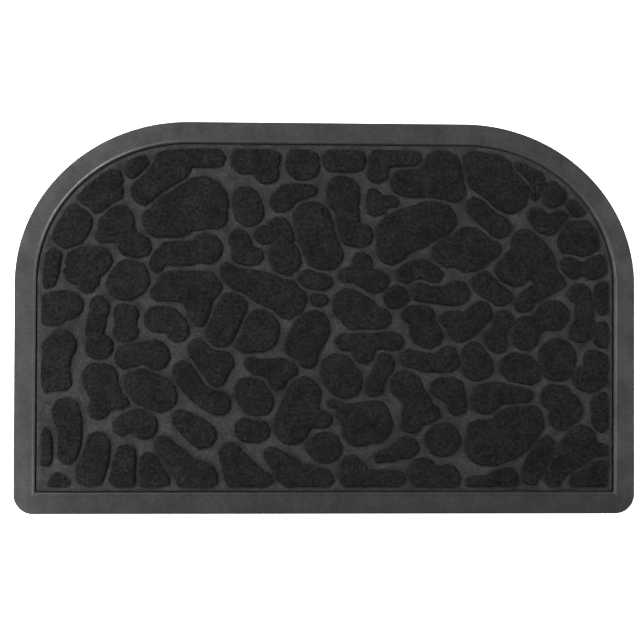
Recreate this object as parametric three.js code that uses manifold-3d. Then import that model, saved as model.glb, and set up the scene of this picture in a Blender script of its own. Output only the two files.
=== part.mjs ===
// Half round doormat: a rubber tray with a bevelled border, and a carpet inlay pressed with a pebble pattern.
// Millimetres, +Z up. The straight side lies towards -Y, the rounded side towards +Y, the underside on Z = 0.
import * as THREE from "three";
import Module from "manifold-3d";

const wasm = await Module();
wasm.setup();

// Outline of the mat
const matWidth = 700;
const matDepth = 441;
const shoulderWidth = 195;
const shoulderDepth = 182;
const cornerRadius = 22;
const sharpestRadius = 0.8;
const shoulderSteps = 26;
const cornerSteps = 5;

// Heights of the rubber tray
const edgeHeight = 1.5;
const slopeHeight = 4.6;
const lipHeight = 5.4;
const wallHeight = 4.5;
const floorHeight = 2.0;

// Widths of the rubber tray, all measured inwards from the outer edge
const edgeBevel = 0.6;
const lipStart = 20.4;
const lipTopStart = 21.5;
const lipTopEnd = 22.7;
const wallTop = 24.0;
const wallFoot = 24.2;

// Carpet inlay
const inlayGap = 2.2;
const inlayLift = 0.3;
const inlayBase = floorHeight + inlayLift;
const channelHeight = 4.3;
const stoneHeight = 7.0;
const inlayInset = wallTop + inlayGap;
const inlayEdgeRound = 0.3;
const stripWidth = 4.6;
const fieldInset = inlayInset + stripWidth;

// Stones
const channelWidth = 4.2;
const stoneGrowth = 1.4;
const cutGrowth = 9;
const stoneDraft = 0.7;
const stoneRoot = 0.6;
const smallestStone = 1;

// Fineness of the stones' outlines
const pointSpacing = 9.8;
const fewestPoints = 11;
const spineDiscs = 9;
const neighbourReach = 90;
const rayStep = 0.8;
const finestStep = 0.05;
const roundingSlack = 1;

// The pebbles, placed by eye. Each row is a pebble, as a list of the rounded lobes that make it up.
// A lobe's turn is in degrees, its bend moves the middle to the left, and its taper widens the far end.
const lobeColumns = ["x", "y", "length", "width", "turn", "bend", "taper"];
const stones = [
  // rounded side, from left to right
  [[-308.3, 55, 43, 14.5, 79]],
  [[-286, 102, 52, 37, 65]],
  [[-255, 144, 57, 21, 38], [-248, 132, 44, 20, 46]],
  [[-214.5, 168, 32, 19, 60, 0, 3]],
  [[-145, 180, 58, 20, 0], [-187.5, 156.5, 76, 35, 41]],
  [[-82, 177, 54, 28, 0], [-69, 163, 26, 22, 0]],
  [[-28, 173, 38, 33, 0]],
  [[18, 178, 50, 25, 0]],
  [[76, 181, 60, 18, 0], [57, 172, 38, 22, 80]],
  [[129, 160, 52, 50, 0], [107, 153, 70, 30, 0], [141, 146, 30, 27, 0]],
  [[190, 157, 86, 52, -48]],
  [[227, 165.5, 38, 14, -33], [238, 151, 34, 13, 82]],
  [[257, 141, 31, 28, -60]],
  [[281, 125, 24, 13, -45]],
  [[282.5, 93, 43, 38, 0], [291, 83, 27, 25, 0], [272, 85, 20, 18, 0]],
  [[276, 57.5, 26, 24, 0], [303, 58, 27, 22, 82], [290, 57, 24, 13, 0]],
  [[312, 24, 38, 14, 90]],
  // upper middle
  [[-267, 62, 52, 33, 0], [-275, 46, 40, 20, -20], [-267, 44, 34, 18, 70]],
  [[-237, 106, 42, 38, 90], [-228, 94, 24, 24, 0], [-217, 81, 37, 26, -12], [-249, 92, 22, 14, 0]],
  [[-160, 124, 90, 51, 14, 0, 14], [-178, 109, 58, 35, 0], [-127, 114, 27, 26, 0]],
  [[-92, 130, 33, 31, 90], [-89, 120, 33, 32, 0]],
  [[-51, 132, 27, 23, 30], [-33, 141.5, 47, 16, 10, 0, -10]],
  [[17, 139, 42, 35, 90], [22, 112, 44, 25, 90], [31, 94, 40, 25, 0]],
  [[52, 131, 30, 14, 90], [62, 132, 36, 12, 2], [56, 124, 20, 14, 0]],
  [[100, 103, 92, 46, 20], [74, 82, 42, 34, 75]],
  [[141, 77, 44, 34, 10], [161, 78, 50, 50, 0], [180, 80, 31, 22, -15]],
  [[183, 115.5, 58, 26, -43]],
  [[240.5, 112, 32, 19, -52, 0, 4], [259, 111, 34, 19, 52, 0, -4]],
  [
    [233, 75, 58, 33, -52],
    [209, 53, 38, 32, 0], [215, 66, 28, 26, 0], [226, 56, 26, 20, 0],
    [240, 32, 68, 18, 33, 0, 8],
    [222.5, 17, 20, 18, 0],
    [245, 55, 40, 29, -70],
  ],
  [[-224, 42, 48, 42, 35]],
  [[-136, 78, 34, 33, 0], [-165, 72, 50, 25, 2], [-190, 64, 26, 15, 72]],
  [[-98, 84, 30, 22, -70], [-90, 70, 34, 19, 0]],
  [[-52.5, 96, 34, 27, -70], [-69.5, 93.5, 24, 18, 10], [-48, 68, 40, 34, -80]],
  [[-11, 92, 80, 43, -69]],
  [[38, 59, 30, 20, 80], [28, 50, 30, 14, 15], [54, 41.5, 30, 24, -10], [42, 47, 32, 22, -20]],
  [[104, 53, 52, 20, 0, 5]],
  // middle
  [[-297, 13, 46, 30, 5], [-305, 2, 26, 20, 10]],
  [[-255, 11, 24, 20, 90], [-259, -8, 40, 18, 80], [-255, -33, 30, 27, 0]],
  [[-226, 4, 27, 21, 0], [-226, -16, 27, 22, 0], [-226, -6, 26, 22, 90]],
  [[-185, -2, 40, 27, 0], [-170, -10, 35, 24, -65]],
  [[-155, 35, 72, 32, 0], [-145, 13, 50, 26, -80, 0, -12], [-186, 29, 24, 18, 20]],
  [[-113.5, -2, 66, 33, 66]],
  [[-111, 50, 22, 19, 80], [-80, 39, 66, 26, -8], [-68, 30, 54, 30, -25], [-45, 21.5, 44, 39, -50]],
  [[-14, 43, 38, 20, -12]],
  [[-10, 21, 19, 13, 5]],
  [[-76, -14.5, 47, 41, 80], [-89, -28.5, 28, 18, 0]],
  [[-21, -18, 55, 38, 62], [-22, -41, 30, 20, 85], [-33, -33, 28, 25, 0]],
  [[27.5, 13, 44, 35, -25], [42, 10, 36, 25, -38], [45, 1, 55, 26, -2, 0, -6]],
  [[78, 24, 28, 25, 0]],
  [[125, 26.5, 62, 18, -6], [147, 30, 27, 23, 10], [106, 31, 24, 17, 0]],
  [[187, 33, 50, 26, -38]],
  [[102, 5, 36, 19, 0], [112, -16, 37, 31, -25]],
  [[164, -3, 58, 23, 45], [144, -2, 32, 18, 0], [147, -13, 20, 20, 0]],
  [[198, -2, 26, 21, 72], [190, -25, 28, 23, -60], [194.5, -12, 18, 14, 72]],
  [[224.5, -16, 38, 28, 82], [255.5, 4, 35, 32, 0], [239, -4.5, 36, 20, 38]],
  [[286.5, 28, 24, 22, 0], [292, 6, 50, 18, -88], [287.5, -14, 25, 23, 0]],
  [[311, -20, 32, 15, 90]],
  // lower middle
  [
    [-296.5, -31, 32, 30, 90],
    [-302.5, -65, 30, 28, 0],
    [-302, -73, 31, 16, 0],
    [-300.5, -50, 40, 24, 80],
  ],
  [
    [-254, -67, 38, 30, 0],
    [-250, -80, 50, 34, -60],
    [-239, -91, 36, 18, -8],
    [-253.5, -98.5, 31, 22, 60],
  ],
  [[-221, -44, 34, 27, 0], [-193, -42, 33, 30, -60], [-207, -40, 30, 22, 0]],
  [[-199, -81, 62, 38, -28]],
  [
    [-141.5, -38.5, 30, 24, -45],
    [-122, -50, 32, 28, 0],
    [-124.5, -60, 38, 23, 75],
    [-134.5, -51, 30, 22, -50],
  ],
  [[-143, -80, 77, 24, -42, -5, 4]],
  [[-62, -56, 56, 18, 2], [-56, -67, 28, 22, 90], [-45, -59, 22, 19, 0], [-84, -51.5, 16, 12, 0]],
  [[-82, -88, 48, 36, -58]],
  [[-33.5, -104, 77, 38, 70], [-10, -113.5, 30, 18, -8], [-20, -103, 20, 20, 0]],
  [[47, -26, 76, 17, 2], [40, -33, 36, 23, -80], [72, -26, 26, 18, 0]],
  [[16, -65, 52, 39, -55]],
  [[64, -52, 25, 20, 85], [53, -75.5, 25, 19, 80], [59, -64, 28, 15, 65]],
  [[109, -48, 54, 18, -10], [136, -46, 28, 24, 70], [120, -51, 40, 16, 0]],
  [
    [89, -75.5, 35, 31, -20],
    [106, -107, 42, 23, 0],
    [95, -118.5, 22, 21, 0],
    [100, -92, 40, 28, -60],
  ],
  [[136, -78, 37, 20, 0], [146, -92, 33, 19, -85], [134, -84, 24, 16, -35]],
  [[168, -41.5, 33, 26, -45], [169.5, -54, 34, 30, 0]],
  [[220, -57, 46, 32, -15]],
  [[261, -47, 48, 40, 90]],
  [[306, -51, 37, 28, 90], [296, -68.5, 34, 26, -20]],
  [[180.5, -90.5, 33, 33, 0], [207, -84.5, 54, 20, -4, 0, -6]],
  [[260, -88.5, 34, 29, 0], [271, -101.5, 36, 34, 0], [267, -109, 32, 26, 75]],
  [[311.5, -105, 44, 20, 90]],
  // straight side, from left to right
  [[-314.5, -146, 40, 13, 86, 0, -5]],
  [[-298.5, -184, 20, 14, -40]],
  [[-289.2, -129.5, 72, 25, -88, 3, -10]],
  [[-259.5, -155.5, 57, 28, 74, -2, -6]],
  [[-204, -120.5, 30, 25, 90], [-220, -117, 41, 20, 26]],
  [[-226.5, -167.5, 50, 25, 81, 0, -3]],
  [[-196, -173, 48, 27, -65, 0, 8], [-195, -184, 26, 16, 0]],
  [[-151.5, -122.5, 54, 25, -37, 0, 10]],
  [[-170.5, -157, 64, 24, -47, 0, 12], [-145, -174, 44, 27, -18], [-146, -183, 40, 14, 0]],
  [[-105, -165, 50, 24, -75], [-89.5, -170.5, 50, 22, -44], [-87, -182, 50, 18, 0]],
  [[-84, -125.5, 38, 26, -4]],
  [[-50, -164.5, 57, 24, -43, 0, 16], [-17, -178.5, 48, 23, -12]],
  [[-8, -145, 39, 25.5, -3, 0, 18]],
  [
    [46, -117, 54, 42, -10],
    [37, -124, 40, 38, 0],
    [30, -108, 40, 22, 0],
    [55, -105, 26, 24, 0],
    [10, -96, 18, 7, 0],
  ],
  [[27, -174, 40, 22, 86], [34, -170, 24, 18, -40], [52.5, -180, 70, 16, 0]],
  [[90.5, -145, 25, 22, 90], [75, -152.5, 46, 13, 14, 0, 3], [79, -148, 26, 14, 38]],
  [[108, -173, 32, 30, 90], [136, -178, 26, 25, 0], [122, -178, 40, 22, 0], [122, -183, 52, 14, 0]],
  [[130.5, -136, 38, 37, 0]],
  [[198.5, -180.5, 34, 20, 12], [177, -184.5, 40, 12, 0]],
  [
    [180, -126, 42, 22, 0],
    [184, -143, 54, 43, 0],
    [222, -119, 46, 40, 0],
    [231, -108, 24, 18, -15],
    [205, -114, 36, 24, 20],
    [211, -134, 56, 40, 38],
  ],
  [[239.5, -158.5, 57, 16, 63], [237.5, -160, 44, 19, 60]],
  [[288.5, -138, 36, 32, 75], [271, -160, 70, 28, 44.5, 0, 18], [300, -147.5, 32, 13, 0]],
  [[296, -176.5, 44, 17, 25, 0, 3], [298, -183, 42, 14, 0], [311, -168, 16, 12, 0]],
];

// Points from an angle to another round a centre
function corner(points, x, y, radius, from) {
  for (let i = 0; i <= cornerSteps; i++) {
    const angle = from + (i / cornerSteps) * (Math.PI / 2);
    points.push(new THREE.Vector2(x + radius * Math.cos(angle), y + radius * Math.sin(angle)));
  }
}

// Points round one elliptical shoulder, moved inwards square to the edge
function shoulder(points, side, inset) {
  const centreX = side * (matWidth / 2 - shoulderWidth);
  const centreY = matDepth / 2 - shoulderDepth;
  const from = side > 0 ? 0 : Math.PI / 2;
  for (let i = 0; i <= shoulderSteps; i++) {
    const angle = from + (i / shoulderSteps) * (Math.PI / 2);
    const onEdge = new THREE.Vector2(shoulderWidth * Math.cos(angle), shoulderDepth * Math.sin(angle));
    const outwards = new THREE.Vector2(shoulderDepth * Math.cos(angle), shoulderWidth * Math.sin(angle));
    onEdge.addScaledVector(outwards.normalize(), -inset);
    points.push(onEdge.add(new THREE.Vector2(centreX, centreY)));
  }
}

// The mat's outline moved inwards, as a counterclockwise ring of points
function outline(inset) {
  const points = [];
  const radius = Math.max(cornerRadius - inset, sharpestRadius);
  const x = matWidth / 2 - inset - radius;
  const y = -matDepth / 2 + inset + radius;
  corner(points, x, y, radius, -Math.PI / 2);
  shoulder(points, 1, inset);
  shoulder(points, -1, inset);
  corner(points, -x, y, radius, Math.PI);
  return points;
}

// A closed surface through rings of as many points each, from the bottom ring to the top one
function loft(rings) {
  const count = rings[0].points.length;
  const positions = rings.flatMap(({ points, z }) => points.flatMap((point) => [point.x, point.y, z]));
  const index = [];
  for (let level = 0; level + 1 < rings.length; level++) {
    for (let i = 0; i < count; i++) {
      const a = level * count + i;
      const b = level * count + ((i + 1) % count);
      index.push(a, b, b + count, a, b + count, a + count);
    }
  }
  const top = (rings.length - 1) * count;
  for (const [a, b, c] of THREE.ShapeUtils.triangulateShape(rings[0].points, [])) {
    index.push(a, c, b);
  }
  for (const [a, b, c] of THREE.ShapeUtils.triangulateShape(rings[rings.length - 1].points, [])) {
    index.push(top + a, top + b, top + c);
  }
  const geometry = new THREE.BufferGeometry();
  geometry.setAttribute("position", new THREE.Float32BufferAttribute(positions, 3));
  geometry.setIndex(index);
  return geometry;
}

function toSolid(geometry) {
  return new wasm.Manifold(
    new wasm.Mesh({
      numProp: 3,
      vertProperties: geometry.attributes.position.array,
      triVerts: new Uint32Array(geometry.index.array),
    }),
  );
}

function toGeometry(solid) {
  const mesh = solid.getMesh();
  const geometry = new THREE.BufferGeometry();
  geometry.setAttribute("position", new THREE.Float32BufferAttribute(mesh.vertProperties, 3));
  geometry.setIndex(new THREE.BufferAttribute(mesh.triVerts, 1));
  return geometry;
}

// Rubber tray
function trayGeometry() {
  const profile = [
    { inset: 0, z: 0 },
    { inset: 0, z: edgeHeight - edgeBevel / 2 },
    { inset: edgeBevel, z: edgeHeight },
    { inset: lipStart, z: slopeHeight },
    { inset: lipTopStart, z: lipHeight },
    { inset: lipTopEnd, z: lipHeight },
    { inset: wallTop, z: wallHeight },
    { inset: wallFoot, z: floorHeight },
  ];
  return loft(profile.map(({ inset, z }) => ({ points: outline(inset), z })));
}

// The middle line of a lobe as a row of discs
function lobeOf(row) {
  const named = Object.fromEntries(lobeColumns.map((name, i) => [name, row[i] ?? 0]));
  const { x, y, length, width, turn, bend, taper } = named;
  const angle = THREE.MathUtils.degToRad(turn);
  const along = new THREE.Vector2(Math.cos(angle), Math.sin(angle));
  const across = new THREE.Vector2(-along.y, along.x);
  const reach = Math.max(length - width, 0.5) / 2;
  const discs = [];
  for (let i = 0; i < spineDiscs; i++) {
    const t = (2 * i) / (spineDiscs - 1) - 1;
    const centre = new THREE.Vector2(x, y);
    centre.addScaledVector(along, t * reach);
    centre.addScaledVector(across, bend * (1 - t * t) - bend / 2);
    discs.push({ centre, radius: (width + (taper * t) / 2) / 2 });
  }
  return { centre: new THREE.Vector2(x, y), discs, reach, angle, width, bend };
}

// How far a point lies outside a stone's lobes, negative inside
function outsideStone(stone, point) {
  let least = Infinity;
  for (const { discs } of stone) {
    for (const { centre, radius } of discs) {
      least = Math.min(least, point.distanceTo(centre) - radius);
    }
  }
  return least;
}

// How far a point lies inside the mat's outer edge
function depthInside(edge, point) {
  let least = Infinity;
  for (let i = 0; i < edge.length; i++) {
    const a = edge[i];
    const b = edge[(i + 1) % edge.length];
    const alongX = b.x - a.x;
    const alongY = b.y - a.y;
    const square = alongX * alongX + alongY * alongY;
    const walked = ((point.x - a.x) * alongX + (point.y - a.y) * alongY) / square;
    const share = THREE.MathUtils.clamp(walked, 0, 1);
    least = Math.min(least, Math.hypot(point.x - a.x - share * alongX, point.y - a.y - share * alongY));
  }
  return least;
}

// The rays that leave a lobe's middle line, evenly spaced round its edge
function raysOf(lobe) {
  const side = 2 * lobe.reach;
  const cap = (Math.PI * lobe.width) / 2;
  const perimeter = 2 * (side + cap);
  const count = Math.max(fewestPoints, Math.round(perimeter / pointSpacing));
  const rays = [];
  for (let i = 0; i < count; i++) {
    const walked = ((i + 0.5) / count) * perimeter;
    const half = walked < side + cap ? 0 : 1;
    const local = walked - half * (side + cap);
    const share = Math.min(local / side, 1);
    const fan = local > side ? ((local - side) / cap) * Math.PI : 0;
    const t = half === 0 ? 2 * share - 1 : 1 - 2 * share;
    const start = THREE.MathUtils.clamp((t + 1) / 2, 0, 1) * (lobe.discs.length - 1);
    const low = Math.min(Math.floor(start), lobe.discs.length - 2);
    const from = lobe.discs[low].centre.clone().lerp(lobe.discs[low + 1].centre, start - low);
    const slope = Math.atan2(-2 * lobe.bend * t, lobe.reach);
    const heading = lobe.angle + slope + half * Math.PI - Math.PI / 2 + fan;
    rays.push({ from, step: new THREE.Vector2(Math.cos(heading), Math.sin(heading)) });
  }
  return rays;
}

// Each lobe reaches out a little from its own discs, until it meets a channel beside the stone.
// Close to the pressed strip it reaches further, as far as the strip, where it is cut square.
function stoneOutline(stone, lobe, others, edge) {
  const fits = (point) => {
    const toStrip = depthInside(edge, point) - fieldInset;
    const growth = stoneGrowth + Math.max(0, cutGrowth - toStrip);
    const clear = outsideStone(stone, point) + channelWidth;
    const apart = others.every((other) => outsideStone(other, point) > clear);
    return toStrip >= 0 && outsideStone([lobe], point) <= growth && apart;
  };
  const rays = raysOf(lobe);
  const reaches = rays.map(({ from, step }) => {
    let reach = 0;
    let stride = rayStep;
    while (stride > finestStep) {
      if (fits(from.clone().addScaledVector(step, reach + stride))) {
        reach += stride;
      } else {
        stride /= 2;
      }
    }
    return reach;
  });
  const count = rays.length;
  const eased = reaches.map((reach, i) => {
    const before = reaches[(i + count - 1) % count];
    const after = reaches[(i + 1) % count];
    return Math.min(reach, (before + 2 * reach + after) / 4 + roundingSlack);
  });
  return { rays, reaches: eased };
}

function stoneSolid(stone, lobe, others, edge) {
  const { rays, reaches } = stoneOutline(stone, lobe, others, edge);
  const ring = (draft) =>
    rays.map(({ from, step }, i) => {
      return from.clone().addScaledVector(step, Math.max(reaches[i] - draft, smallestStone));
    });
  return toSolid(
    loft([
      { points: ring(0), z: channelHeight - stoneRoot },
      { points: ring(0), z: channelHeight },
      { points: ring(stoneDraft), z: stoneHeight },
    ]),
  );
}

// Carpet inlay: one pressed sheet with every stone standing on it
function inlayGeometry() {
  const profile = [
    { inset: inlayInset + inlayEdgeRound, z: inlayBase },
    { inset: inlayInset, z: inlayBase + inlayEdgeRound },
    { inset: inlayInset, z: channelHeight - inlayEdgeRound },
    { inset: inlayInset + inlayEdgeRound, z: channelHeight },
  ];
  let solid = toSolid(loft(profile.map(({ inset, z }) => ({ points: outline(inset), z }))));
  const edge = outline(0);
  const lobed = stones.map((stone) => stone.map(lobeOf));
  const near = (stone, other) => other.some((lobe) => outsideStone(stone, lobe.centre) < neighbourReach);
  const nearby = (stone) => lobed.filter((other) => other !== stone && near(stone, other));
  for (const stone of lobed) {
    const others = nearby(stone);
    for (const lobe of stone) {
      solid = solid.add(stoneSolid(stone, lobe, others, edge));
    }
  }
  return toGeometry(solid);
}

function piece(name, geometry, color, roughness) {
  geometry.computeVertexNormals();
  const material = new THREE.MeshStandardMaterial({ color, roughness, metalness: 0 });
  const mesh = new THREE.Mesh(geometry, material);
  mesh.name = name;
  return mesh;
}

const group = new THREE.Group();
group.name = "half_round_doormat";
group.add(piece("rubber_tray", trayGeometry(), 0x4a4a4d, 0.75));
group.add(piece("carpet_inlay", inlayGeometry(), 0x232325, 0.95));

export default group;
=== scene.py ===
"""Half round doormat: a bevelled rubber tray and a carpet inlay with pebbles of raised pile."""

import math
from typing import NamedTuple

import bpy
import numpy as np
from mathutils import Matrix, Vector, noise
from mathutils.geometry import delaunay_2d_cdt


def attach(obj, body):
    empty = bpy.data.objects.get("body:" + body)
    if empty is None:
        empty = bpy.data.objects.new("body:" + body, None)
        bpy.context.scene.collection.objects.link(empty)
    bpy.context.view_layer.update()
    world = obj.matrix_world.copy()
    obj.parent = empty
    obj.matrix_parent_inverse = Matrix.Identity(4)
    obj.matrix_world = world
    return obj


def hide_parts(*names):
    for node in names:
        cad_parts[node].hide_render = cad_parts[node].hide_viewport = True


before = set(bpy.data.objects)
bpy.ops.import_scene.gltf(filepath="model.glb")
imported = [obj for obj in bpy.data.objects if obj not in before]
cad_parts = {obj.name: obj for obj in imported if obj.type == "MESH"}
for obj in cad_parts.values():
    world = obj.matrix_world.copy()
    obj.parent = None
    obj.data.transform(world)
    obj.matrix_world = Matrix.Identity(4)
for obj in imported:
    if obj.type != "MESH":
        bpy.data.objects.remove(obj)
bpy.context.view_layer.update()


class Relief(NamedTuple):
    """Noise that moves a surface: how far and over what size in mm, its layer and its octaves."""

    strength: float
    size: float
    layer: float
    octaves: int = 2


MM = 0.001
SEED = 20

# Outline of the mat, mm
MAT_WIDTH = 700.0
MAT_DEPTH = 441.0
SHOULDER_WIDTH = 195.0
SHOULDER_DEPTH = 182.0
CORNER_RADIUS = 22.0
SHARPEST_RADIUS = 0.8

# Points along each stretch of an outline
CORNER_STEPS = 12
SIDE_STEPS = 40
SHOULDER_STEPS = 100
TOP_STEPS = 60
BOTTOM_STEPS = 140

# The tray's section: how far inwards from the edge, and how high, mm
TRAY_SECTION = [
    (0.25, 0.0),
    (0.0, 0.3),
    (0.0, 0.95),
    (0.15, 1.3),
    (0.6, 1.52),
    (2.0, 1.85),
    (4.5, 2.36),
    (7.5, 2.9),
    (10.5, 3.38),
    (13.5, 3.8),
    (16.5, 4.14),
    (19.0, 4.4),
    (20.4, 4.56),
    (21.3, 4.76),
    (22.0, 5.0),
    (22.5, 5.14),
    (23.0, 5.16),
    (23.4, 5.04),
    (23.8, 4.76),
    (24.2, 4.4),
    (24.45, 4.0),
    (24.55, 3.4),
    (24.6, 2.4),
    (24.85, 2.05),
    (27.0, 2.0),
    (40.0, 2.0),
]

# Stretches of the tray's section, as how far inwards they begin and end, mm
WAVY_FROM = 0.5
WAVY_TO = 24.0
# The lip's stretch gets the smoother rubber whose lighter tone is a painted highlight
LIP_FROM = 21.0
LIP_TO = 24.5

# Pressed sheet, mm
INLAY_INSET = 26.2
INLAY_BASE = 2.3
CHANNEL_HEIGHT = 4.3
SHEET_ROUND = 0.35
SHEET_SINK = 0.05
SHEET_RIM_SINK = 0.1
SHEET_SPACING = 4.0

# A pebble's rings: how far outwards from the edge of its flat top, and how high, mm
PEBBLE_RINGS = [
    (1.3, 3.7),
    (1.25, 4.2),
    (0.98, 4.7),
    (0.78, 5.4),
    (0.58, 6.1),
    (0.25, 6.6),
    (-0.4, 6.95),
    (-1.3, 7.1),
]

# A pebble's top, the height at which its lumps begin, and the spacing of its points, mm
PILE_HEIGHT = 7.15
LUMPS_FROM = 6.5
RIM_SPACING = 1.5
FILL_SPACING = 1.8

# Angles past which an edge stays sharp, degrees
TRAY_SMOOTH_ANGLE = 40
SHEET_SMOOTH_ANGLE = 60
PEBBLE_SMOOTH_ANGLE = 75

# How many pieces the pebbles and the tufts are shared among, and about how many tufts each gets
PEBBLE_PIECES = 2
TUFT_PIECES = 3
TUFTS_PER_PIECE = 40000

# Reading a pebble's edge and rounding it: mm, digits, and counts of points and rounds
TOP_TOLERANCE = 0.01
POINT_DIGITS = 3
PLACE_DIGITS = 2
SLIVER_POINTS = 5
FEWEST_POINTS = 16
EASING_SPACING = 1.0
EASING_ROUNDS = 12
EASING_FACTORS = (0.5, -0.52)

# Points scattered over a face, as shares of their spacing
ROW_PITCH = 0.87
JITTER = 0.28
CLEARANCE = 0.6

# How the points are joined: only inside the rim, and as one where they are this near, mm
INSIDE_ONLY = 1
MERGE_DISTANCE = 1e-5

# Unevenness of each surface
TRAY_WAVE = Relief(0.05, 60.0, 3.0)
EDGE_RAGGED = Relief(0.65, 7.0, 7.0, 3)
WALL_RAGGED = Relief(0.18, 2.6, 0.0)
PILE_SWELL = Relief(0.16, 14.0, 0.0)
PILE_CLUMPS = Relief(0.2, 3.4, 5.0)
SHEET_DIMPLES = Relief(0.1, 8.0, 9.0)
SHEET_SWELL = Relief(0.08, 25.0, 2.0)

# A pebble's wall: layers of noise for each mm of height, and its shift along y as a share of x's
WALL_LAYERS = 1.7
WALL_SHIFT_Y = 0.6

# Tufts of fibre, and how deep a root lies under the pile's face and a foot under its root, mm
TUFT_RADIUS = (0.16, 0.32)
TUFT_HEIGHT = (0.3, 0.85)
TUFT_LEAN = 0.26
ROOT_DEPTH = 0.05
FOOT_DEPTH = 0.12

# Tufts round a pebble's rim: their share of all tufts, and where they stand and lean, mm
RIM_SHARE = 0.22
RIM_START = 0.1
RIM_REACH = 0.75
RIM_SPREAD = 0.4
RIM_TOP = 6.8
RIM_DROP = 1.6
RIM_LEAN = 0.45
LEAST_LEAN = 0.4

# Base tones of the materials, and how much the mat's greys lean to red and to blue
RUBBER = 0.0192
# The lip's tone, a quarter lighter than the rubber's, is a painted highlight along the lip's crest
LIP_TONE_WITH_PAINTED_HIGHLIGHT = RUBBER * 1.25
PRESSED = 0.0178
PILE = 0.0094
REDNESS = 1.01
BLUENESS = 1.09

# Where the middle of the noise's range begins and ends
NOISE_ENDS = (0.3, 0.7)
FIBRE_ENDS = (0.35, 0.65)

# Sockets of a node that mixes two colours
MIX_FACTOR = 0
MIX_FIRST = 6
MIX_SECOND = 7
MIX_RESULT = 2

# Camera, nearly straight over the mat: its place and farthest view in m, turn in degrees, lens in mm
CAMERA_PLACE = (-0.0702, -0.0238, 1.6035)
CAMERA_TURN = (0.764, -2.231, 0.192)
FARTHEST_VIEW = 20
LENS = 80
SENSOR_WIDTH = 36

# Lights: name, place and size in metres, watts
LIGHTS = [
    ("key", (-1.2, 1.05, 1.25), (0.7, 0.7), 66),
    ("low left", (-0.85, -0.5, 0.42), (0.4, 0.25), 9.5),
    ("right", (1.6, -0.5, 1.5), (1.2, 1.2), 20),
    ("low right", (1.3, 0.3, 0.8), (0.8, 0.8), 13),
]
WORLD_STRENGTH = 0.03

# Studio floor: its radius, and how high, mm
FLOOR_SECTION = [(8000.0, 0.0), (10000.0, 1000.0)]
FLOOR_SIDES = 64
FLOOR_GLOW = 0.95


# Small helpers


def object_from(name, vertices, faces, smooth_angle=None):
    """A mesh object from points in millimetres."""
    mesh = bpy.data.meshes.new(name)
    mesh.from_pydata((np.array(vertices) * MM).tolist(), [], faces)
    mesh.validate()
    mesh.update()
    piece = bpy.data.objects.new(name, mesh)
    bpy.context.scene.collection.objects.link(piece)
    if smooth_angle is not None:
        mesh.shade_smooth()
        mesh.set_sharp_from_angle(angle=math.radians(smooth_angle))
    return piece


def rise(x, y, relief):
    """How far the noise moves a surface at a point, in millimetres."""
    total = 0.0
    weight = 1.0
    size = relief.size
    for _ in range(relief.octaves):
        total += weight * noise.noise((x / size, y / size, relief.layer))
        weight *= 0.5
        size *= 0.5
    return relief.strength * total


def ring_faces(count, levels):
    """The faces between rings that lie one above the other."""
    faces = []
    for level in range(levels - 1):
        for i in range(count):
            a = level * count + i
            b = level * count + (i + 1) % count
            faces.append((a, b, b + count, a + count))
    return faces


# The mat's outline


def outline(inset):
    """The mat's outline moved inwards, counterclockwise, with as many points at every inset."""
    radius = max(CORNER_RADIUS - inset, SHARPEST_RADIUS)
    corner_x = MAT_WIDTH / 2 - inset - radius
    corner_y = -MAT_DEPTH / 2 + inset + radius
    shoulder_x = MAT_WIDTH / 2 - SHOULDER_WIDTH
    shoulder_y = MAT_DEPTH / 2 - SHOULDER_DEPTH
    points = []

    def corner(x, start):
        for i in range(CORNER_STEPS + 1):
            angle = start + i / CORNER_STEPS * math.pi / 2
            points.append((x + radius * math.cos(angle), corner_y + radius * math.sin(angle)))

    def straight(a, b, steps):
        for i in range(1, steps):
            share = i / steps
            points.append((a[0] + (b[0] - a[0]) * share, a[1] + (b[1] - a[1]) * share))

    def shoulder(side, start):
        for i in range(SHOULDER_STEPS + 1):
            angle = start + i / SHOULDER_STEPS * math.pi / 2
            c, s = math.cos(angle), math.sin(angle)
            out = Vector((SHOULDER_DEPTH * c, SHOULDER_WIDTH * s)).normalized()
            x = side * shoulder_x + SHOULDER_WIDTH * c - inset * out.x
            y = shoulder_y + SHOULDER_DEPTH * s - inset * out.y
            points.append((x, y))

    right = MAT_WIDTH / 2 - inset
    top = MAT_DEPTH / 2 - inset
    corner(corner_x, -math.pi / 2)
    straight((right, corner_y), (right, shoulder_y), SIDE_STEPS)
    shoulder(1, 0)
    straight((shoulder_x, top), (-shoulder_x, top), TOP_STEPS)
    shoulder(-1, math.pi / 2)
    straight((-right, shoulder_y), (-right, corner_y), SIDE_STEPS)
    corner(-corner_x, math.pi)
    straight((-corner_x, corner_y - radius), (corner_x, corner_y - radius), BOTTOM_STEPS)
    return points


# Rubber tray


def make_tray():
    """One smooth moulding: foot, bevel, raised lip, inner wall and floor."""
    vertices = []
    for inset, height in TRAY_SECTION:
        wavy = WAVY_FROM < inset < WAVY_TO
        for x, y in outline(inset):
            wave = rise(x, y, TRAY_WAVE) if wavy else 0.0
            vertices.append((x, y, height + wave))
    count = len(vertices) // len(TRAY_SECTION)
    faces = ring_faces(count, len(TRAY_SECTION))
    faces.append(tuple(reversed(range(count))))
    faces.append(tuple(range(len(vertices) - count, len(vertices))))
    tray = object_from("rubber_tray_moulding", vertices, faces, TRAY_SMOOTH_ANGLE)
    finish_lip(tray, count)
    return tray


def finish_lip(tray, count):
    """Gives the faces of the raised lip the tray's second material: smoother, glossier rubber whose
    lighter tone is a painted highlight.
    """
    for level, (inset, _) in enumerate(TRAY_SECTION[:-1]):
        if LIP_FROM <= inset < LIP_TO:
            for face in range(level * count, (level + 1) * count):
                tray.data.polygons[face].material_index = 1


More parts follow.
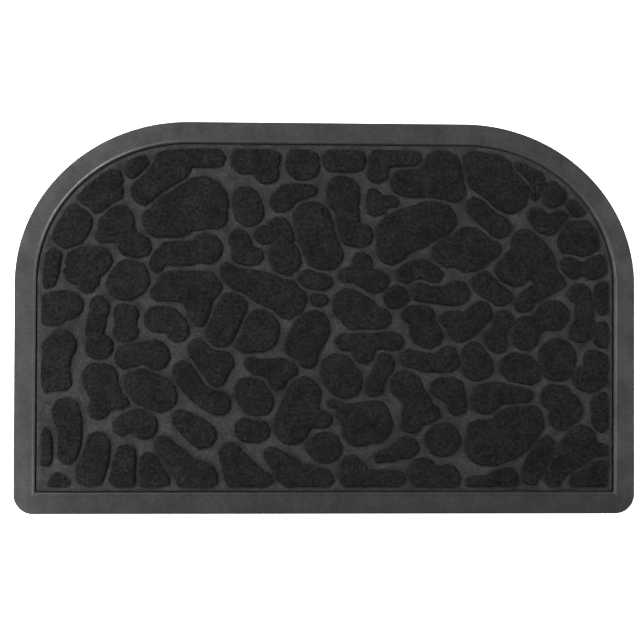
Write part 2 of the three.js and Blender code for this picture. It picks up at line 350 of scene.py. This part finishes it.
# The pebbles' edges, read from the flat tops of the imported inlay


def place_of(loop):
    """The mean of a line's points, rounded so that the order of lines doesn't hang on last digits."""
    return (round(loop[:, 0].mean(), PLACE_DIGITS), round(loop[:, 1].mean(), PLACE_DIGITS))


def top_loops(node):
    """The closed lines round the highest flat faces of a node, in millimetres."""
    mesh = node.data
    points = np.array([v.co for v in mesh.vertices]) / MM
    top = points[:, 2].max()
    keys = [tuple(np.round(p[:2], POINT_DIGITS)) for p in points]
    edges = set()
    for polygon in mesh.polygons:
        corners = list(polygon.vertices)
        if all(abs(points[v][2] - top) < TOP_TOLERANCE for v in corners):
            edges.update((keys[a], keys[b]) for a, b in zip(corners, corners[1:] + corners[:1]))
    follow = {a: b for a, b in sorted(edges) if (b, a) not in edges}
    loops = []
    while follow:
        start, point = follow.popitem()
        loop = [start]
        while point != start:
            loop.append(point)
            point = follow.pop(point)
        if len(loop) > SLIVER_POINTS:
            loops.append(np.array(loop))
    return sorted(loops, key=place_of)


def resampled(loop, spacing):
    """A closed line of points at even steps."""
    closed = np.vstack([loop, loop[:1]])
    walked = np.concatenate([[0], np.cumsum(np.linalg.norm(np.diff(closed, axis=0), axis=1))])
    count = max(FEWEST_POINTS, int(round(walked[-1] / spacing)))
    at = np.arange(count) / count * walked[-1]
    return np.stack([np.interp(at, walked, closed[:, k]) for k in (0, 1)], axis=1)


def eased(loop):
    """The line with its corners rounded, by averaging steps that don't shrink it."""
    for _ in range(EASING_ROUNDS):
        for factor in EASING_FACTORS:
            middle = (np.roll(loop, 1, 0) + np.roll(loop, -1, 0)) / 2
            loop = loop + factor * (middle - loop)
    return loop


def outwards(loop):
    """The direction square to a closed counterclockwise line at each of its points."""
    along = np.roll(loop, -1, 0) - np.roll(loop, 1, 0)
    out = np.stack([along[:, 1], -along[:, 0]], axis=1)
    return out / np.linalg.norm(out, axis=1)[:, None]


def pebble_line(loop):
    """A pebble's edge: round, and a little ragged."""
    line = resampled(eased(resampled(loop, EASING_SPACING)), RIM_SPACING)
    ragged = np.array([rise(x, y, EDGE_RAGGED) for x, y in line])
    return line + outwards(line) * ragged[:, None]


# Faces filled with small uneven triangles


def inside(points, loop):
    """Which points lie inside a closed line."""
    x, y = points[:, 0][:, None], points[:, 1][:, None]
    ax, ay = loop[:, 0], loop[:, 1]
    bx, by = np.roll(ax, -1), np.roll(ay, -1)
    crosses = (ay > y) != (by > y)
    with np.errstate(divide="ignore", invalid="ignore"):
        at = ax + (y - ay) / (by - ay) * (bx - ax)
    return (crosses & (x < at)).sum(1) % 2 == 1


def nearest(points, loop):
    """How far points lie from the nearest point of a line."""
    return np.linalg.norm(points[:, None, :] - loop[None], axis=2).min(1)


def area_of(loop):
    """The area inside a closed line."""
    x, y = loop[:, 0], loop[:, 1]
    return abs((x * np.roll(y, -1) - y * np.roll(x, -1)).sum()) / 2


def scattered(loop, spacing, rng):
    """Points spread unevenly over the inside of a line, clear of the line itself."""
    low, high = loop.min(0), loop.max(0)
    xs = np.arange(low[0], high[0], spacing)
    ys = np.arange(low[1], high[1], spacing * ROW_PITCH)
    grid = np.array([(x + (j % 2) * spacing / 2, y) for j, y in enumerate(ys) for x in xs])
    grid += rng.uniform(-JITTER, JITTER, grid.shape) * spacing
    grid = grid[inside(grid, loop)]
    return grid[nearest(grid, loop) > spacing * CLEARANCE]


def add_top(vertices, faces, rim, spacing, height_at, rng):
    """Closes a form whose last ring is the rim with a face of small uneven triangles."""
    count = len(rim)
    first = len(vertices) - count
    flat = [Vector(p) for p in np.vstack([rim, scattered(rim, spacing, rng)])]
    border = [(i, (i + 1) % count) for i in range(count)]
    points, _, triangles, sources, _, _ = delaunay_2d_cdt(
        flat, border, [], INSIDE_ONLY, MERGE_DISTANCE
    )
    index = []
    for point, source in zip(points, sources):
        if source and source[0] < count:
            index.append(first + source[0])
        else:
            index.append(len(vertices))
            vertices.append((point.x, point.y, height_at(point.x, point.y)))
    faces += [tuple(index[i] for i in triangle) for triangle in triangles]


# Pressed sheet under the pebbles


def sheet_height(x, y):
    """The height of the pressed carpet's uneven face."""
    return CHANNEL_HEIGHT - SHEET_SINK + rise(x, y, SHEET_DIMPLES) + rise(x, y, SHEET_SWELL)


def make_sheet(rng):
    """The pressed carpet: a thin closed sheet with an uneven face, laid in the tray's recess."""
    edge = outline(INLAY_INSET)
    rim = np.array(outline(INLAY_INSET + SHEET_ROUND))
    rings = [
        [(x, y, INLAY_BASE) for x, y in edge],
        [(x, y, CHANNEL_HEIGHT - 2 * SHEET_ROUND) for x, y in edge],
        [(x, y, sheet_height(x, y) - SHEET_RIM_SINK) for x, y in rim],
    ]
    vertices = sum(rings, [])
    faces = ring_faces(len(edge), len(rings))
    faces.append(tuple(reversed(range(len(edge)))))
    add_top(vertices, faces, rim, SHEET_SPACING, sheet_height, rng)
    return object_from("carpet_sheet", vertices, faces, SHEET_SMOOTH_ANGLE)


# Pebbles


def pile_lump(x, y):
    """How far the pile's surface rises or sinks."""
    return rise(x, y, PILE_SWELL) + rise(x, y, PILE_CLUMPS)


def pile_height(x, y):
    """The height of a pebble's lumpy top."""
    return PILE_HEIGHT + pile_lump(x, y)


def make_pebbles(name, lines, rng):
    """Closed forms with ragged walls, a soft shoulder and a lumpy top."""
    vertices = []
    faces = []
    for line in lines:
        out = outwards(line)
        count = len(line)
        first = len(vertices)
        for step, height in PEBBLE_RINGS:
            wall = WALL_RAGGED._replace(layer=height * WALL_LAYERS)
            for x, y in line + out * step:
                ragged = rise(x, y, wall)
                lift = pile_lump(x, y) if height > LUMPS_FROM else 0.0
                vertices.append((x + ragged, y + WALL_SHIFT_Y * ragged, height + lift))
        faces += [tuple(first + i for i in face) for face in ring_faces(count, len(PEBBLE_RINGS))]
        faces.append(tuple(first + i for i in reversed(range(count))))
        rim = line + out * PEBBLE_RINGS[-1][0]
        add_top(vertices, faces, rim, FILL_SPACING, pile_height, rng)
    return object_from(name, vertices, faces, PEBBLE_SMOOTH_ANGLE)


# Fibre tufts on the pebbles


def top_roots(line, wanted, rng):
    """Where tufts stand on a pebble's top."""
    low, high = line.min(0), line.max(0)
    found = np.zeros((0, 2))
    while len(found) < wanted:
        tries = rng.uniform(low, high, (wanted * 2, 2))
        found = np.vstack([found, tries[inside(tries, line)]])
    return [(x, y, PILE_HEIGHT - ROOT_DEPTH + pile_lump(x, y)) for x, y in found[:wanted]]


def rim_roots(line, wanted, rng):
    """Where tufts stand round a pebble's rim, and how they lean away from it."""
    out = outwards(line)
    roots, leans = [], []
    for i, down in zip(rng.integers(0, len(line), wanted), rng.uniform(0, 1, wanted)):
        along = np.array([-out[i][1], out[i][0]])
        away = out[i] * (RIM_REACH * down - RIM_START)
        x, y = line[i] + away + rng.normal(0, RIM_SPREAD) * along
        roots.append((x, y, RIM_TOP - RIM_DROP * down**2))
        leans.append(tuple(out[i] * RIM_LEAN * (LEAST_LEAN + down)))
    return roots, leans


def tuft_roots(lines, total, rng):
    """Where the tufts stand and which way they lean: most on the tops, some round the rims."""
    areas = np.array([area_of(line) for line in lines])
    lengths = np.array([len(line) for line in lines])
    roots, leans = [], []
    for line, area, length in zip(lines, areas, lengths):
        on_top = int(total * (1 - RIM_SHARE) * area / areas.sum())
        on_rim = int(total * RIM_SHARE * length / lengths.sum())
        tops = top_roots(line, on_top, rng)
        rims, rim_leans = rim_roots(line, on_rim, rng)
        roots += tops + rims
        leans += [(0.0, 0.0)] * len(tops) + rim_leans
    return np.array(roots), np.array(leans)


def make_tufts(name, roots, leans, rng):
    """Short spikes of fibre, each a closed three-sided form."""
    count = len(roots)
    turn = rng.uniform(0, 2 * math.pi, count)
    radius = rng.uniform(*TUFT_RADIUS, count)
    height = rng.uniform(*TUFT_HEIGHT, count)
    lean = leans + rng.normal(0, TUFT_LEAN, (count, 2))
    corners = []
    for k in range(3):
        angle = turn + k * 2 * math.pi / 3
        x = roots[:, 0] + radius * np.cos(angle)
        y = roots[:, 1] + radius * np.sin(angle)
        corners.append(np.stack([x, y, roots[:, 2] - FOOT_DEPTH], axis=1))
    tip = roots + np.concatenate([lean, height[:, None]], axis=1)
    vertices = np.stack(corners + [tip], axis=1).reshape(-1, 3) * MM
    pattern = np.array([(0, 2, 1), (0, 1, 3), (1, 2, 3), (2, 0, 3)])
    faces = (np.arange(count)[:, None, None] * 4 + pattern[None]).reshape(-1, 3)
    mesh = bpy.data.meshes.new(name)
    mesh.vertices.add(len(vertices))
    mesh.vertices.foreach_set("co", vertices.ravel())
    mesh.loops.add(faces.size)
    mesh.loops.foreach_set("vertex_index", faces.ravel())
    mesh.polygons.add(len(faces))
    mesh.polygons.foreach_set("loop_start", np.arange(0, faces.size, 3))
    mesh.update(calc_edges=True)
    piece = bpy.data.objects.new(name, mesh)
    bpy.context.scene.collection.objects.link(piece)
    return piece


# Materials


def grey(value):
    """A tone of the mat, faintly blue."""
    return (value * REDNESS, value, value * BLUENESS)


def even(value):
    """A factor that leaves the hue as it is."""
    return (value, value, value)


class Finish:
    """A material in the making: its nodes, its links and its shader."""

    def __init__(self, name):
        self.material = bpy.data.materials.new(name)
        self.material.use_nodes = True
        self.nodes = self.material.node_tree.nodes
        self.links = self.material.node_tree.links
        self.nodes.clear()
        output = self.nodes.new("ShaderNodeOutputMaterial")
        self.shader = self.nodes.new("ShaderNodeBsdfPrincipled")
        self.links.new(self.shader.outputs["BSDF"], output.inputs["Surface"])

    def set(self, socket, value):
        """Gives a socket of the shader one value all over the surface."""
        self.shader.inputs[socket].default_value = value

    def connect(self, socket, value):
        """Gives a socket of the shader a value that changes over the surface."""
        self.links.new(value, self.shader.inputs[socket])

    def grain(self, scale, detail, roughness, stretch=(1.0, 1.0, 1.0)):
        """Noise fixed to the object, with so many features to the metre."""
        coordinates = self.nodes.new("ShaderNodeTexCoord")
        mapping = self.nodes.new("ShaderNodeMapping")
        mapping.inputs["Scale"].default_value = stretch
        self.links.new(coordinates.outputs["Object"], mapping.inputs["Vector"])
        made = self.nodes.new("ShaderNodeTexNoise")
        made.inputs["Scale"].default_value = scale
        made.inputs["Detail"].default_value = detail
        made.inputs["Roughness"].default_value = roughness
        self.links.new(mapping.outputs["Vector"], made.inputs["Vector"])
        return made.outputs["Fac"]

    def ramp(self, value, low, high, ends=NOISE_ENDS):
        """Colours from low to high, across the middle of the noise's range."""
        made = self.nodes.new("ShaderNodeValToRGB")
        for element, position, color in zip(made.color_ramp.elements, ends, (low, high)):
            element.position = position
            element.color = (*color, 1.0)
        self.links.new(value, made.inputs["Fac"])
        return made.outputs["Color"]

    def tones(self, value, tone, low, high):
        """The mat's grey, from low to high times a tone."""
        return self.ramp(value, grey(tone * low), grey(tone * high))

    def shades(self, value, low, high, ends=NOISE_ENDS):
        """Factors from low to high."""
        return self.ramp(value, even(low), even(high), ends)

    def multiplied(self, first, second):
        """Two colours multiplied with each other."""
        made = self.nodes.new("ShaderNodeMix")
        made.data_type = "RGBA"
        made.blend_type = "MULTIPLY"
        made.inputs[MIX_FACTOR].default_value = 1.0
        self.links.new(first, made.inputs[MIX_FIRST])
        self.links.new(second, made.inputs[MIX_SECOND])
        return made.outputs[MIX_RESULT]

    def bump(self, height, distance, strength):
        """Fine relief from noise."""
        made = self.nodes.new("ShaderNodeBump")
        made.inputs["Distance"].default_value = distance
        made.inputs["Strength"].default_value = strength
        self.links.new(height, made.inputs["Height"])
        self.connect("Normal", made.outputs["Normal"])


def rubber_material(name, tone, smoothness, gloss):
    """Rubber as it comes from the mould: cloudy, faintly drawn lengthwise, and finely speckled."""
    finish = Finish(name)
    clouds = finish.grain(scale=26.0, detail=6.0, roughness=0.7)
    streaks = finish.grain(scale=70.0, detail=3.0, roughness=0.6, stretch=(1.0, 0.12, 1.0))
    specks = finish.grain(scale=420.0, detail=5.0, roughness=0.8)
    broad = finish.tones(clouds, tone, low=0.65, high=1.35)
    drawn = finish.shades(streaks, low=0.85, high=1.15)
    fine = finish.shades(specks, low=0.5, high=1.5)
    finish.connect("Base Color", finish.multiplied(finish.multiplied(broad, drawn), fine))
    finish.connect("Roughness", finish.shades(clouds, low=0.72 - smoothness, high=0.56 - smoothness))
    finish.set("Specular IOR Level", gloss)
    finish.bump(specks, distance=0.0002, strength=0.45)
    return finish.material


def pressed_material():
    """Pile pressed flat: blotchy, with the ends of fibres showing."""
    finish = Finish("pressed carpet")
    blotches = finish.grain(scale=55.0, detail=5.0, roughness=0.7)
    fibres = finish.grain(scale=420.0, detail=5.0, roughness=0.8)
    broad = finish.tones(blotches, PRESSED, low=0.45, high=1.6)
    fine = finish.shades(fibres, low=0.25, high=1.8)
    finish.connect("Base Color", finish.multiplied(broad, fine))
    finish.set("Roughness", 0.75)
    finish.set("Specular IOR Level", 0.15)
    finish.bump(fibres, distance=0.0005, strength=0.6)
    return finish.material


def pile_material():
    """Standing pile: dark and matt, with strong flecks of fibre."""
    finish = Finish("carpet pile")
    blotches = finish.grain(scale=60.0, detail=4.0, roughness=0.7)
    fibres = finish.grain(scale=300.0, detail=6.0, roughness=0.85)
    broad = finish.tones(blotches, PILE, low=0.6, high=1.4)
    fine = finish.shades(fibres, low=0.1, high=1.9, ends=FIBRE_ENDS)
    finish.connect("Base Color", finish.multiplied(broad, fine))
    finish.set("Roughness", 1.0)
    finish.set("Specular IOR Level", 0.06)
    finish.set("Sheen Weight", 0.02)
    finish.set("Sheen Roughness", 0.5)
    finish.bump(fibres, distance=0.0012, strength=1.0)
    return finish.material


def floor_material():
    """Pale, with a glow that keeps it pale far from the lights."""
    finish = Finish("studio floor")
    finish.set("Base Color", (0.95, 0.95, 0.95, 1))
    finish.set("Roughness", 0.9)
    finish.set("Emission Color", (1, 1, 1, 1))
    finish.set("Emission Strength", FLOOR_GLOW)
    return finish.material


# Camera and studio


def make_camera():
    """The camera at the photograph's viewing angle."""
    data = bpy.data.cameras.new("camera")
    data.lens = LENS
    data.sensor_width = SENSOR_WIDTH
    data.clip_end = FARTHEST_VIEW
    camera = bpy.data.objects.new("camera", data)
    camera.location = CAMERA_PLACE
    camera.rotation_euler = [math.radians(turn) for turn in CAMERA_TURN]
    bpy.context.scene.collection.objects.link(camera)
    bpy.context.scene.camera = camera


def area_light(name, place, size, watts):
    """A soft light that points at the middle of the mat."""
    data = bpy.data.lights.new(name, "AREA")
    data.shape = "RECTANGLE"
    data.size, data.size_y = size
    data.energy = watts
    light = bpy.data.objects.new(name, data)
    light.location = place
    light.rotation_euler = (-Vector(place)).to_track_quat("-Z", "Y").to_euler()
    bpy.context.scene.collection.objects.link(light)


def make_world():
    """A faint even light from all round."""
    world = bpy.data.worlds.new("studio")
    world.use_nodes = True
    background = world.node_tree.nodes["Background"]
    background.inputs["Color"].default_value = (1, 1, 1, 1)
    background.inputs["Strength"].default_value = WORLD_STRENGTH
    bpy.context.scene.world = world


def make_floor():
    """A round floor whose far edge rises to a low rim, so that a low view ends on it."""
    vertices = []
    for radius, height in FLOOR_SECTION:
        for i in range(FLOOR_SIDES):
            angle = i / FLOOR_SIDES * 2 * math.pi
            vertices.append((radius * math.cos(angle), radius * math.sin(angle), height))
    faces = [tuple(range(FLOOR_SIDES)), *ring_faces(FLOOR_SIDES, len(FLOOR_SECTION))]
    floor = object_from("floor", vertices, faces)
    floor.data.materials.append(floor_material())


def make_studio():
    """World, lights and floor, with the colours shown as they are."""
    make_world()
    for name, place, size, watts in LIGHTS:
        area_light(name, place, size, watts)
    make_floor()
    bpy.context.scene.view_settings.view_transform = "Standard"
    bpy.context.scene.view_settings.look = "None"


# The mat in its studio

make_camera()
make_studio()

rng = np.random.default_rng(SEED)
lines = [pebble_line(loop) for loop in top_loops(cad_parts["carpet_inlay"])]

tray = make_tray()
sheet = make_sheet(rng)
pebbles = [
    make_pebbles(f"carpet_pebbles_{k + 1}", lines[k::PEBBLE_PIECES], rng)
    for k in range(PEBBLE_PIECES)
]
roots, leans = tuft_roots(lines, TUFTS_PER_PIECE * TUFT_PIECES, rng)
tufts = []
for k, part in enumerate(np.array_split(rng.permutation(len(roots)), TUFT_PIECES)):
    tufts.append(make_tufts(f"carpet_tufts_{k + 1}", roots[part], leans[part], rng))

tray.data.materials.append(rubber_material("moulded rubber", RUBBER, smoothness=0.0, gloss=0.26))
# The lip's rubber is smoother and glossier, and its lighter tone is a painted highlight
tray.data.materials.append(rubber_material("smooth rubber lip with painted highlight", LIP_TONE_WITH_PAINTED_HIGHLIGHT, smoothness=0.24, gloss=0.35))
sheet.data.materials.append(pressed_material())
pile = pile_material()
for piece in [*pebbles, *tufts]:
    piece.data.materials.append(pile)

# What each piece rides on; the imported tray and inlay are hidden
inlay = [sheet, *pebbles, *tufts]
for piece in [tray, *inlay]:
    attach(piece, "root")
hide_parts("rubber_tray")
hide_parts("carpet_inlay")
